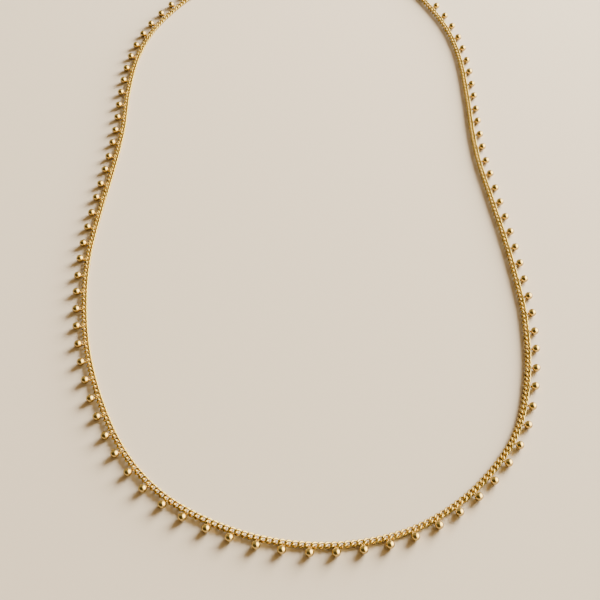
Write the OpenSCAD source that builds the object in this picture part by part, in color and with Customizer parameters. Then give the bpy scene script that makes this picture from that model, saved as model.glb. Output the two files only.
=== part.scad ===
// A fine curb chain necklace with small balls set along its outer edge.
// It lies open on a flat surface, its front towards -Y and its clasp at the back.
// The chain is one slim tube on each side here, of the width and height that its
// interlocked links take up. All sizes are in millimetres.

/* [Chain] */
// Width across the links of the chain
chain_w = 1.48; // [1.44:0.02:1.5]
// Gap under the chain, which hangs a little off the surface in the eyes of its balls
chain_gap = 0.03; // [0.01:0.01:0.05]
// Outer length of one link
link_l = 2.12; // [2.1:0.01:2.14]
// Thickness of a link's wire
link_wire = 0.44; // [0.4:0.01:0.44]
// Twist of a link from one end to the other, in degrees
link_twist = 115; // [110:5:120]
// Number of links in the whole chain
link_count = 386; // [380:1:390]

/* [Balls] */
// Diameter of a ball
ball_d = 1.6; // [1.4:0.05:1.6]
// Distance of a ball's middle from the middle of the chain
ball_out = 1.62; // [1.62:0.02:1.7]
// Number of links from one ball to the next
ball_every = 4; // [4:1:8]
// Number of bare links at each end of the chain
bare_links = 6; // [4:1:10]
// Largest swing of a ball to either side, in degrees
ball_sway = 6; // [0:1:8]
// Thickness of the eye that holds a ball to its link
eye_wire = 0.2; // [0.16:0.01:0.2]

/* [Clasp] */
// Diameter of the clasp's ring, measured to the middle of its wire
clasp_d = 4.5; // [4.3:0.1:5]
// Thickness of the clasp's wire
clasp_wire = 0.9; // [0.8:0.05:0.9]
// Diameter of the small eye on the clasp, to the middle of its wire
clasp_eye_d = 1.7; // [1.7:0.05:1.9]
// Thickness of the small eye's wire
clasp_eye_wire = 0.4; // [0.36:0.01:0.4]
// Diameter of a jump ring, to the middle of its wire
jump_d = 2.3; // [2.3:0.05:2.5]
// Thickness of a jump ring's wire
jump_wire = 0.36; // [0.34:0.01:0.38]
// Lean of a jump ring away from flat, in degrees
jump_lean = 60; // [56:1:64]

/* [Hidden] */
gold = [0.85, 0.67, 0.36];
gold_light = [0.93, 0.78, 0.5];
gold_deep = [0.78, 0.58, 0.28];

// The middle line of a link's wire: an oval with a twist along its length, so that the
// link lies flat between its neighbours while they pass through it.
function link_line(t) =
    let (y = (chain_w - link_wire) / 2 * sin(t), turn = -link_twist / 2 * cos(t))
    [(link_l - link_wire) / 2 * cos(t), y * cos(turn), y * sin(turn)];

// The twist gives the chain its height, and so the height of its middle.
chain_h = link_wire + 2 * max([for (t = [90 : 5 : 180]) link_line(t).z]);
chain_z = chain_h / 2 + chain_gap;

// Heights at the clasp: the jump rings stand on the surface, and the clasp hangs in
// them with one side of its rim on the surface.
ring_z = jump_d / 2 * sin(jump_lean) + jump_wire / 2;
clasp_lean = asin((ring_z - clasp_wire / 2) / (clasp_d / 2));

// Places along X at the clasp, each worked out from its neighbour with the play
// that is left between the wires. The small eye is sunk into the clasp's rim.
link_play = 0.15;
clasp_play = 0.15;
eye_play = 0.3;
eye_sunk = 0.15;
clasp_x = -1.15;
clasp_eye_x = clasp_x
    + (clasp_d + clasp_wire + clasp_eye_d + clasp_eye_wire) / 2 - eye_sunk;
jump_right_x = clasp_eye_x
    + (clasp_eye_d + jump_d - clasp_eye_wire - jump_wire) / 2 - eye_play;
jump_left_x = clasp_x - (clasp_d + jump_d - clasp_wire - jump_wire) / 2 + clasp_play;
link_reach = (jump_d + link_l - jump_wire) / 2 - link_wire - link_play;
start_x = jump_right_x + link_reach;
end_x = jump_left_x - link_reach;
back_y = 89.5;

// The middle of the chain as it lies, from the right end of the clasp down the right
// side, round the front and up the left side.
route = [
    [start_x, back_y], [13, 88], [21, 84], [28, 77.5], [33.5, 68],
    [37.5, 57.5], [39.5, 46], [40, 32], [40, 18], [40.5, 8],
    [42, -4], [43.5, -16], [44.5, -27], [45, -38], [44, -51],
    [41, -63.5], [36, -72.5], [28, -81], [18, -87], [6, -89.5],
    [-6, -88.5], [-17, -84.5], [-26, -78.5], [-33, -70], [-38.5, -58.5],
    [-42.5, -45.5], [-44.5, -32.5], [-45, -20], [-44, -7], [-42.5, 6.5],
    [-41.5, 20], [-41.5, 33], [-40.5, 46], [-37.5, 57.5], [-32.5, 67],
    [-26.5, 75], [-19.5, 82], [-12.5, 87.5], [end_x, back_y]
];
last = len(route) - 1;

// A point before the first and one after the last make both ends leave the clasp
// straight along X.
function point(i) =
    i < 0 ? [2 * route[0].x - route[1].x, route[1].y] :
    i > last ? [2 * route[last].x - route[last - 1].x, route[last - 1].y] :
    route[i];

// The curve through the route's points: u counts points, so u = 2.5 lies halfway
// between the third point and the fourth.
function curve(u) =
    let (i = min(floor(u), last - 1), t = u - i,
        a = point(i - 1), b = point(i), c = point(i + 1), d = point(i + 2))
    0.5 * (2 * b + (c - a) * t + (2 * a - 5 * b + 4 * c - d) * t * t
        + (3 * b - a - 3 * c + d) * t * t * t);

// Length along the curve, measured in short steps, against u.
steps = 16;
measured = [
    for (k = 0, s = 0; k <= last * steps;
        s = s + norm(curve((k + 1) / steps) - curve(k / steps)), k = k + 1)
    [s, k / steps]
];
chain_l = measured[len(measured) - 1][0];
link_step = chain_l / (link_count - 1);

// Place and direction on the route at the length s from its start.
near = 0.05;
function along(s) = curve(lookup(s, measured));
function heading(s) =
    let (a = along(max(s - near, 0)), b = along(min(s + near, chain_l)))
    atan2(b.y - a.y, b.x - a.x);

// Near the clasp the jump rings hold the bare ends of the chain up.
lift_l = bare_links * link_step;
function ease(t) = t * t * (3 - 2 * t);
function height(s) =
    let (t = 1 - min(s, chain_l - s) / lift_l)
    chain_z + (t > 0 ? (ring_z - chain_z) * ease(t) : 0);

// The skin of a wire or tube from a list of rings of points.
module swept(rings, closed) {
    n = len(rings);
    m = len(rings[0]);
    spans = closed ? n - 1 : n - 2;
    skin = [
        for (i = [0 : spans], j = [0 : m - 1])
            let (a = i * m, b = (i + 1) % n * m, k = (j + 1) % m)
            each [[a + j, b + j, b + k], [a + j, b + k, a + k]]
    ];
    caps = closed ? [] :
        [[for (j = [0 : m - 1]) j], [for (j = [m - 1 : -1 : 0]) (n - 1) * m + j]];
    polyhedron([for (ring = rings) each ring], concat(skin, caps));
}

// One side of the chain as a tube of eight flat sides, from length s0 to length s1.
// It stops short of the end link by the gap.
tube_rings = 40;
tube_sides = 8;
tube_gap = 0.12;
tube_start = link_l / 2 + tube_gap;
module chain_side(s0, s1) {
    flat = cos(180 / tube_sides);
    swept([
        for (i = [0 : tube_rings - 1])
            let (s = s0 + (s1 - s0) * i / (tube_rings - 1), p = along(s), h = heading(s))
            [
                for (j = [0 : tube_sides - 1])
                    let (q = (j + 0.5) * 360 / tube_sides, w = chain_w / 2 / flat * cos(q))
                    [p.x - w * sin(h), p.y + w * cos(h), height(s) + chain_h / 2 / flat * sin(q)]
            ]
    ], false);
}

// One curb link: round wire along the twisted oval.
link_rings = 16;
link_sides = 6;
function unit(v) = v / norm(v);
module curb_link() {
    swept([
        for (i = [0 : link_rings - 1])
            let (t = i * 360 / link_rings, p = link_line(t),
                ahead = unit(link_line(t + 1) - link_line(t - 1)),
                out = [cos(t), sin(t), 0],
                side = unit(out - (out * ahead) * ahead),
                up = cross(ahead, side))
            [
                for (j = [0 : link_sides - 1])
                    let (q = -j * 360 / link_sides)
                    p + link_wire / 2 * (cos(q) * side + sin(q) * up)
            ]
    ], true);
}

// A ring of round wire, flat on the XY plane.
module wire_ring(d, wire) {
    rotate_extrude($fn = 48) translate([d / 2, 0]) circle(d = wire, $fn = 24);
}

// One ball with its eye, at the link numbered k. The eye is soldered to the ball and
// hooks over the outer edge of the chain. Each ball hangs a little to one side, by an
// angle that doesn't repeat from ball to ball.
eye_out = 0.6;
eye_z = 0.62;
eye_r = 0.42;
eye_turn = 105;
sway_step = 137.5;
module ball(k) {
    s = k * link_step;
    p = along(s);
    translate([p.x, p.y, 0]) rotate([0, 0, heading(s)]) translate([0, eye_out, 0])
        rotate([0, 0, ball_sway * sin(k * sway_step)]) {
            translate([0, ball_out - eye_out, ball_d / 2]) sphere(d = ball_d, $fn = 32);
            translate([0, 0, eye_z]) rotate([90, 0, 90])
                rotate_extrude(angle = eye_turn, $fn = 48)
                    translate([eye_r, 0]) circle(d = eye_wire, $fn = 16);
        }
}

// The numbers of the links that carry a ball, split at the front of the necklace.
ball_links = [bare_links : ball_every : link_count - 1 - bare_links];
half = (link_count - 1) / 2;

module chain_right() {
    color(gold) chain_side(tube_start, chain_l / 2);
}

module chain_left() {
    color(gold_deep) chain_side(chain_l / 2, chain_l - tube_start);
}

module balls_right() {
    color(gold_light) for (k = ball_links) if (k < half) ball(k);
}

module balls_left() {
    color(gold) for (k = ball_links) if (k >= half) ball(k);
}

module end_link_right() {
    color(gold_light) translate([start_x, back_y, ring_z]) curb_link();
}

module end_link_left() {
    color(gold_light) translate([end_x, back_y, ring_z]) curb_link();
}

module jump_ring_right() {
    color(gold_deep) translate([jump_right_x, back_y, ring_z])
        rotate([-jump_lean, 0, 0]) wire_ring(jump_d, jump_wire);
}

module jump_ring_left() {
    color(gold_deep) translate([jump_left_x, back_y, ring_z])
        rotate([jump_lean, 0, 0]) wire_ring(jump_d, jump_wire);
}

// The clasp is a ring with a small soldered eye for the right jump ring and a knob on
// its rim. The left jump ring passes through it.
knob_at = 250;
knob_d = 0.8;
knob_out = 0.1;
module clasp() {
    color(gold) translate([clasp_x, back_y, ring_z]) rotate([-clasp_lean, 0, 0]) {
        wire_ring(clasp_d, clasp_wire);
        translate([clasp_eye_x - clasp_x, 0, 0]) wire_ring(clasp_eye_d, clasp_eye_wire);
        rotate([0, 0, knob_at]) translate([(clasp_d + clasp_wire) / 2 + knob_out, 0, 0])
            sphere(d = knob_d, $fn = 24);
    }
}

chain_right();
chain_left();
balls_right();
balls_left();
end_link_right();
end_link_left();
jump_ring_right();
jump_ring_left();
clasp();
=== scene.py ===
import math

import bpy
from mathutils import Matrix, Vector


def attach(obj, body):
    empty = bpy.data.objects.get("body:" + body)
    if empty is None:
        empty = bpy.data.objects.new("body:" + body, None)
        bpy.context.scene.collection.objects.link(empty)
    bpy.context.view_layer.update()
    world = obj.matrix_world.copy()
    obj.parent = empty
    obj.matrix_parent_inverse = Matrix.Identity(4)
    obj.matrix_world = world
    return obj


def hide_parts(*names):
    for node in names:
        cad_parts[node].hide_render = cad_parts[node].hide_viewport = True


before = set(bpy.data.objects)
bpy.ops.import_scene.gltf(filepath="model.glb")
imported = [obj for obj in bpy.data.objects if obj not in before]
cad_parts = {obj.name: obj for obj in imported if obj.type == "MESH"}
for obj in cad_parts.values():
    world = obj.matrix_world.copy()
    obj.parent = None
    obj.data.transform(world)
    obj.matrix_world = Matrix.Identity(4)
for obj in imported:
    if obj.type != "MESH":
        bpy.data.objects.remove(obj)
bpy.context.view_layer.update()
mm = 0.001


# Camera. It looks down at the front of the necklace from a hand's length above the
# floor, through a short telephoto lens, as the photograph does.
camera_place = Vector((-0.3, -193.6, 185.4)) * mm
camera_down = math.radians(49.04)
camera_turn = math.radians(-0.343)
camera_lens = 71.8
film_width = 36.0

bpy.ops.object.select_all(action="DESELECT")
bpy.ops.object.camera_add()
camera = bpy.context.object
camera.matrix_world = (
    Matrix.Translation(camera_place)
    @ Matrix.Rotation(math.pi / 2 - camera_down, 4, "X")
    @ Matrix.Rotation(camera_turn, 4, "Z")
)
camera.data.sensor_width = film_width
camera.data.lens = camera_lens
camera.data.clip_start = 1 * mm
bpy.context.scene.camera = camera


# Curb chain. Each link is an oval ring of gilt brass wire, soldered shut, then twisted
# a quarter turn and more so that it lies flat between its neighbours. The links pass
# through each other, four of them to each ball. The jump rings hold up both ends.
link_long = 2.12 * mm
link_wide = 1.48 * mm
link_wire = 0.44 * mm
link_twist = math.radians(-115)
link_count = 386
chain_z = 0.49 * mm
jump_ring_wide = 2.3
jump_ring_wire = 0.36
jump_ring_lean = math.radians(60)
ring_z = (jump_ring_wide / 2 * math.sin(jump_ring_lean) + jump_ring_wire / 2) * mm
bare_links = 6
link_roll = math.radians(1.5)
uneven_step = math.radians(137.5)

# The chain's route over the floor in mm, from the right of the clasp clockwise to its left.
clasp_side = 5.21
back_y = 89.5
route = [
    Vector(place) * mm for place in [
        (clasp_side, back_y), (13, 88), (21, 84), (28, 77.5), (33.5, 68),
        (37.5, 57.5), (39.5, 46), (40, 32), (40, 18), (40.5, 8),
        (42, -4), (43.5, -16), (44.5, -27), (45, -38), (44, -51),
        (41, -63.5), (36, -72.5), (28, -81), (18, -87), (6, -89.5),
        (-6, -88.5), (-17, -84.5), (-26, -78.5), (-33, -70), (-38.5, -58.5),
        (-42.5, -45.5), (-44.5, -32.5), (-45, -20), (-44, -7), (-42.5, 6.5),
        (-41.5, 20), (-41.5, 33), (-40.5, 46), (-37.5, 57.5), (-32.5, 67),
        (-26.5, 75), (-19.5, 82), (-12.5, 87.5), (-clasp_side, back_y),
    ]
]
before_first = Vector((2 * route[0].x - route[1].x, route[1].y))
after_last = Vector((2 * route[-1].x - route[-2].x, route[-2].y))
guided = [before_first, *route, after_last]
steps_per_span = 16


def smooth_route():
    """Points close together on the curve through the route, with their lengths along it."""
    points = []
    for a, b, c, d in zip(guided, guided[1:], guided[2:], guided[3:]):
        for step in range(steps_per_span):
            t = step / steps_per_span
            points.append(
                0.5 * (2 * b + (c - a) * t + (2 * a - 5 * b + 4 * c - d) * t ** 2
                       + (3 * b - a - 3 * c + d) * t ** 3)
            )
    points.append(route[-1])
    lengths = [0.0]
    for a, b in zip(points, points[1:]):
        lengths.append(lengths[-1] + (b - a).length)
    return points, lengths


route_points, route_lengths = smooth_route()
chain_long = route_lengths[-1]
link_step = chain_long / (link_count - 1)


def along(length):
    """Place on the route at a length from its start."""
    length = min(max(length, 0), chain_long)
    span = next(i for i in range(1, len(route_lengths)) if route_lengths[i] >= length)
    low, high = route_lengths[span - 1], route_lengths[span]
    return route_points[span - 1].lerp(route_points[span], (length - low) / (high - low))


def height(length):
    """Height of the chain's middle, which the jump rings lift at the two ends."""
    t = 1 - min(length, chain_long - length) / (bare_links * link_step)
    return chain_z + (ring_z - chain_z) * (t * t * (3 - 2 * t) if t > 0 else 0)


def on_the_chain(number):
    """Upright matrix at a numbered link: X runs along the chain and Y points outwards."""
    near = 0.05 * mm
    length = number * link_step
    ahead = along(length + near) - along(length - near)
    place = along(length).to_3d()
    return Matrix.Translation(place) @ Matrix.Rotation(math.atan2(ahead.y, ahead.x), 4, "Z")


def lying_link(number):
    """Matrix of a link in the chain, with the slope of the chain and a small roll."""
    near = 0.2 * mm
    length = number * link_step
    rise = height(length + near) - height(length - near)
    slope = math.atan2(rise, 2 * near)
    roll = link_roll * math.sin(number * uneven_step)
    return (
        on_the_chain(number)
        @ Matrix.Translation((0, 0, height(length)))
        @ Matrix.Rotation(-slope, 4, "Y")
        @ Matrix.Rotation(roll, 4, "X")
    )


def joined_copies(model, matrices, name):
    """One object made of copies of a model, each with a mesh of its own."""
    bpy.ops.object.select_all(action="DESELECT")
    for matrix in matrices:
        piece = model.copy()
        piece.data = model.data.copy()
        piece.matrix_world = matrix
        bpy.context.collection.objects.link(piece)
        piece.select_set(True)
    bpy.context.view_layer.objects.active = piece
    bpy.ops.object.join()
    bpy.ops.object.transform_apply()
    piece.name = piece.data.name = name
    return piece


# The wire oval is a circle drawn out to the link's length, and the twist runs over the
# whole length of its metal. With so many links, each has only 16 steps round its oval
# and six sides to its wire.
bpy.ops.object.select_all(action="DESELECT")
bpy.ops.curve.primitive_bezier_circle_add(radius=1)
link = bpy.context.object
bpy.ops.object.mode_set(mode="EDIT")
bpy.ops.transform.resize(value=((link_long - link_wire) / 2, (link_wide - link_wire) / 2, 1))
bpy.ops.object.mode_set(mode="OBJECT")
link.data.resolution_u = 4
link.data.bevel_depth = link_wire / 2
link.data.bevel_resolution = 1
bpy.ops.object.convert(target="MESH")
link = bpy.context.object
twist = link.modifiers.new("Twist", "SIMPLE_DEFORM")
twist.deform_method = "TWIST"
twist.deform_axis = "X"
twist.angle = link_twist * link_long / (link_long - link_wire)
bpy.ops.object.modifier_apply(modifier="Twist")
bpy.ops.object.shade_smooth()

half = link_count // 2
links_right = joined_copies(link, [lying_link(k) for k in range(half)], "curb_links_right")
links_left = joined_copies(
    link, [lying_link(k) for k in range(half, link_count)], "curb_links_left"
)
bpy.data.objects.remove(link)


def linear(hex_colour):
    """Linear colour from an sRGB hex value."""
    parts = [int(hex_colour[i:i + 2], 16) / 255 for i in (1, 3, 5)]
    return [c / 12.92 if c <= 0.04045 else ((c + 0.055) / 1.055) ** 2.4 for c in parts] + [1.0]


def add_node(material, kind, inputs, **settings):
    """New node. An input is a value, or another node's output that is linked to it."""
    node = material.node_tree.nodes.new(kind)
    for name, value in settings.items():
        setattr(node, name, value)
    for name, value in inputs.items():
        if isinstance(value, bpy.types.NodeSocket):
            material.node_tree.links.new(value, node.inputs[name])
        else:
            node.inputs[name].default_value = value
    return node


def gilt_brass(name, thin, thick, smooth, rough, mark_size, mark_depth):
    """Brass with a thin polished gold plating, whose colour drifts a little over a
    millimetre or two. The polishing leaves faint marks, which dull its shine in places.
    Real marks are too fine to show here, so these are drawn coarser."""
    material = bpy.data.materials.new(name)
    material.use_nodes = True
    surface = material.node_tree.nodes["Principled BSDF"]
    surface.inputs["Metallic"].default_value = 1.0
    place = add_node(material, "ShaderNodeTexCoord", {}).outputs["Object"]
    drift_size = 1.5 * mm
    drift = add_node(
        material, "ShaderNodeTexNoise", {"Vector": place, "Scale": 1 / drift_size, "Detail": 2.0}
    ).outputs["Fac"]
    marks = add_node(
        material, "ShaderNodeTexNoise", {"Vector": place, "Scale": 1 / mark_size, "Detail": 3.0}
    ).outputs["Fac"]
    colour = add_node(
        material, "ShaderNodeMix",
        {"Factor": drift, "A": linear(thin), "B": linear(thick)}, data_type="RGBA",
    )
    shine = add_node(
        material, "ShaderNodeMapRange",
        {"Value": marks, "From Min": 0.3, "From Max": 0.7, "To Min": smooth, "To Max": rough},
    )
    relief = add_node(
        material, "ShaderNodeBump", {"Height": marks, "Distance": mark_depth, "Strength": 1.0}
    )
    links = material.node_tree.links
    links.new(colour.outputs["Result"], surface.inputs["Base Color"])
    links.new(shine.outputs["Result"], surface.inputs["Roughness"])
    links.new(relief.outputs["Normal"], surface.inputs["Normal"])
    return material


# The links were tumbled to a shine, which leaves the softest marks on their wire.
wire_gold = gilt_brass(
    "gilt_brass_wire", thin="#E8CB82", thick="#EFD48C", smooth=0.12, rough=0.26,
    mark_size=0.25 * mm, mark_depth=0.002 * mm,
)
for piece, nodes in [
    (links_right, ["chain_right", "end_link_right"]),
    (links_left, ["chain_left", "end_link_left"]),
]:
    piece.data.materials.append(wire_gold)
    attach(piece, "root")
    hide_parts(*nodes)


# Balls. Each is a solid bead of polished gilt brass, soldered to a small flat band. The
# band is bent round the outer wire of one link and closed, so the ball hangs from it.
ball_wide = 1.6 * mm
ball_out = 1.62 * mm
ball_every = 4
ball_sway = math.radians(6)
sway_out = 0.6 * mm
band_out = 0.53 * mm
band_radius = 0.31 * mm
band_thick = 0.12 * mm
band_wide = 0.26 * mm
band_lean = math.radians(32)
solder_in = 0.77 * mm
solder_long = 0.36 * mm
solder_z = 0.53 * mm
solder_at_band = 0.22 * mm
solder_at_ball = 0.32 * mm
same_point = 0.001 * mm
sharp_edge = math.radians(40)

bpy.ops.object.select_all(action="DESELECT")
bpy.ops.mesh.primitive_uv_sphere_add(
    segments=24, ring_count=16, radius=ball_wide / 2, location=(0, ball_out, ball_wide / 2)
)
ball = bpy.context.object
bpy.ops.mesh.primitive_torus_add(
    major_segments=16, minor_segments=8, major_radius=band_radius, minor_radius=band_thick / 2
)
band = bpy.context.object
bpy.ops.object.mode_set(mode="EDIT")
bpy.ops.transform.resize(value=(1, 1, band_wide / band_thick))
bpy.ops.object.mode_set(mode="OBJECT")
band.matrix_world = (
    Matrix.Translation((0, band_out, chain_z))
    @ Matrix.Rotation(band_lean, 4, "Y")
    @ Matrix.Rotation(math.pi / 2, 4, "Y")
)
bpy.ops.mesh.primitive_cone_add(
    vertices=12, radius1=solder_at_band, radius2=solder_at_ball, depth=solder_long,
    location=(0, solder_in + solder_long / 2, solder_z), rotation=(-math.pi / 2, 0, 0),
)
solder = bpy.context.object
for part in (band, solder):
    bpy.ops.object.select_all(action="DESELECT")
    bpy.context.view_layer.objects.active = ball
    union = ball.modifiers.new("Union", "BOOLEAN")
    union.operation = "UNION"
    union.solver = "EXACT"
    union.object = part
    bpy.ops.object.modifier_apply(modifier="Union")
    bpy.data.objects.remove(part)
ball.select_set(True)
bpy.ops.object.transform_apply()
bpy.ops.object.mode_set(mode="EDIT")
bpy.ops.mesh.select_all(action="SELECT")
bpy.ops.mesh.remove_doubles(threshold=same_point)
bpy.ops.object.mode_set(mode="OBJECT")
bpy.ops.object.shade_smooth_by_angle(angle=sharp_edge)


def hanging_ball(number):
    """Matrix of a ball at a numbered link, swung a little to one side."""
    sway = ball_sway * math.sin(number * uneven_step)
    return (
        on_the_chain(number)
        @ Matrix.Translation((0, sway_out, 0))
        @ Matrix.Rotation(sway, 4, "Z")
        @ Matrix.Translation((0, -sway_out, 0))
    )


# The balls were polished longer than the wire, so they mirror the room more sharply.
ball_gold = gilt_brass(
    "gilt_brass_ball", thin="#EACA88", thick="#F2D594", smooth=0.07, rough=0.16,
    mark_size=0.4 * mm, mark_depth=0.001 * mm,
)
ball_links = range(bare_links, link_count - bare_links, ball_every)
for name, node, numbers in [
    ("balls_on_bands_right", "balls_right", [k for k in ball_links if k < half]),
    ("balls_on_bands_left", "balls_left", [k for k in ball_links if k >= half]),
]:
    piece = joined_copies(ball, [hanging_ball(k) for k in numbers], name)
    piece.data.materials.append(ball_gold)
    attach(piece, "root")
    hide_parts(node)
bpy.data.objects.remove(ball)


# Jump rings and clasp. The rings are round wire, bent shut through the end links. The
# clasp is a plain ring with an eye soldered to it, barrel polished as the chain is.
fittings_gold = gilt_brass(
    "gilt_brass_fittings", thin="#E6C482", thick="#EFCF8E", smooth=0.12, rough=0.26,
    mark_size=0.3 * mm, mark_depth=0.002 * mm,
)
for name in ("jump_ring_right", "jump_ring_left", "clasp"):
    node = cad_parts[name]
    node.data.materials.clear()
    node.data.materials.append(fittings_gold)


# Floor. A wide plain pale surface for the necklace to lie on. The renderer's tones dim the
# bright floor itself more than its mirror image in the gold, so the gold mirrors a darker
# one: painted shade, which darkens the floor only in the gold's reflections.
floor_wide = 6.0
floor_seen = "#E7DCC9"
floor_shaded_in_reflections = "#B3AA9A"
bpy.ops.object.select_all(action="DESELECT")
bpy.ops.mesh.primitive_circle_add(vertices=96, radius=floor_wide / 2, fill_type="NGON")
floor = bpy.context.object
floor.name = "floor"
pale = bpy.data.materials.new("pale_floor")
pale.use_nodes = True
floor_surface = pale.node_tree.nodes["Principled BSDF"]
floor_surface.inputs["Roughness"].default_value = 0.9
# Painted shade in the reflections: the gold sees the darker floor colour, and the camera sees
# the pale one.
mirrored = add_node(pale, "ShaderNodeLightPath", {}).outputs["Is Glossy Ray"]
floor_shade = add_node(
    pale, "ShaderNodeMix",
    {"Factor": mirrored, "A": linear(floor_seen), "B": linear(floor_shaded_in_reflections)},
    data_type="RGBA",
)
pale.node_tree.links.new(floor_shade.outputs["Result"], floor_surface.inputs["Base Color"])
floor.data.materials.append(pale)


# Light. Daylight from one large soft window, low down behind on the right, in a dim room.
# A lamp gives half of it, so that it fades gently to the left, and a bright patch of the
# surroundings gives the rest, so that it reaches the whole floor.
window_towards = (0.69, 0.64, 0.26)
lamp_distance = 0.55
lamp_wide = 0.50
lamp_watts = 15.3
lamp_colour = "#FFF5E8"

bpy.ops.object.light_add(type="AREA")
window_lamp = bpy.context.object
window_lamp.name = "window_lamp"
lamp_side = Vector(window_towards).normalized()
window_lamp.location = lamp_side * lamp_distance
window_lamp.rotation_euler = lamp_side.to_track_quat("Z", "Y").to_euler()
window_lamp.visible_glossy = False
window_lamp.data.shape = "DISK"
window_lamp.data.size = lamp_wide
window_lamp.data.energy = lamp_watts
window_lamp.data.color = linear(lamp_colour)[:3]

world = bpy.data.worlds.new("bright_window_dim_room")
world.use_nodes = True
towards = add_node(world, "ShaderNodeTexCoord", {}).outputs["Generated"]


def room_with(shade, patches):
    """Colour of the room by direction. Each patch lies over the ones before it, full
    within its core and gone past its edge, two angles from its middle."""
    for middle, edge, core, colour in patches:
        facing = add_node(
            world, "ShaderNodeVectorMath",
            {0: towards, 1: Vector(middle).normalized()}, operation="DOT_PRODUCT",
        ).outputs["Value"]
        cover = add_node(
            world, "ShaderNodeMapRange",
            {"Value": facing, "From Min": math.cos(math.radians(edge)),
             "From Max": math.cos(math.radians(core))}, interpolation_type="SMOOTHSTEP",
        ).outputs["Result"]
        shade = add_node(
            world, "ShaderNodeMix", {"Factor": cover, "A": shade, "B": [*colour, 1.0]},
            data_type="RGBA",
        ).outputs["Result"]
    return shade


# The floor is lit by the window and the room's warm glow, with a dark corner behind the
# camera on the left.
glow_on_floor = [0.44, 0.27, 0.10, 1.0]
on_floor = room_with(glow_on_floor, [
    ((-0.6, -0.75, 0.25), 85, 35, (0.07, 0.05, 0.03)),
    (window_towards, 26, 11, (30.7, 28.8, 24.6)),
])
# The gold mirrors that dark corner as its balls' dark spots, and a wall with the window in
# it, wide and bright, as their highlights.
glow_on_metal = [0.40, 0.345, 0.19, 1.0]
on_metal = room_with(glow_on_metal, [
    ((-0.45, -0.8, 0.3), 80, 45, (0.09, 0.07, 0.03)),
    ((1.0, 0.1, 0.12), 80, 30, (2.6, 2.25, 1.15)),
    ((0.84, 0.12, 0.47), 50, 18, (8.5, 7.4, 4.0)),
])
# The backdrop beyond the floor is as pale as the floor.
backdrop = [1.45, 1.19, 0.82, 1.0]
ray = add_node(world, "ShaderNodeLightPath", {}).outputs
room = add_node(
    world, "ShaderNodeMix",
    {"Factor": ray["Is Glossy Ray"], "A": on_floor, "B": on_metal}, data_type="RGBA",
).outputs["Result"]
room = add_node(
    world, "ShaderNodeMix",
    {"Factor": ray["Is Camera Ray"], "A": room, "B": backdrop}, data_type="RGBA",
).outputs["Result"]
world.node_tree.links.new(room, world.node_tree.nodes["Background"].inputs["Color"])
bpy.context.scene.world = world
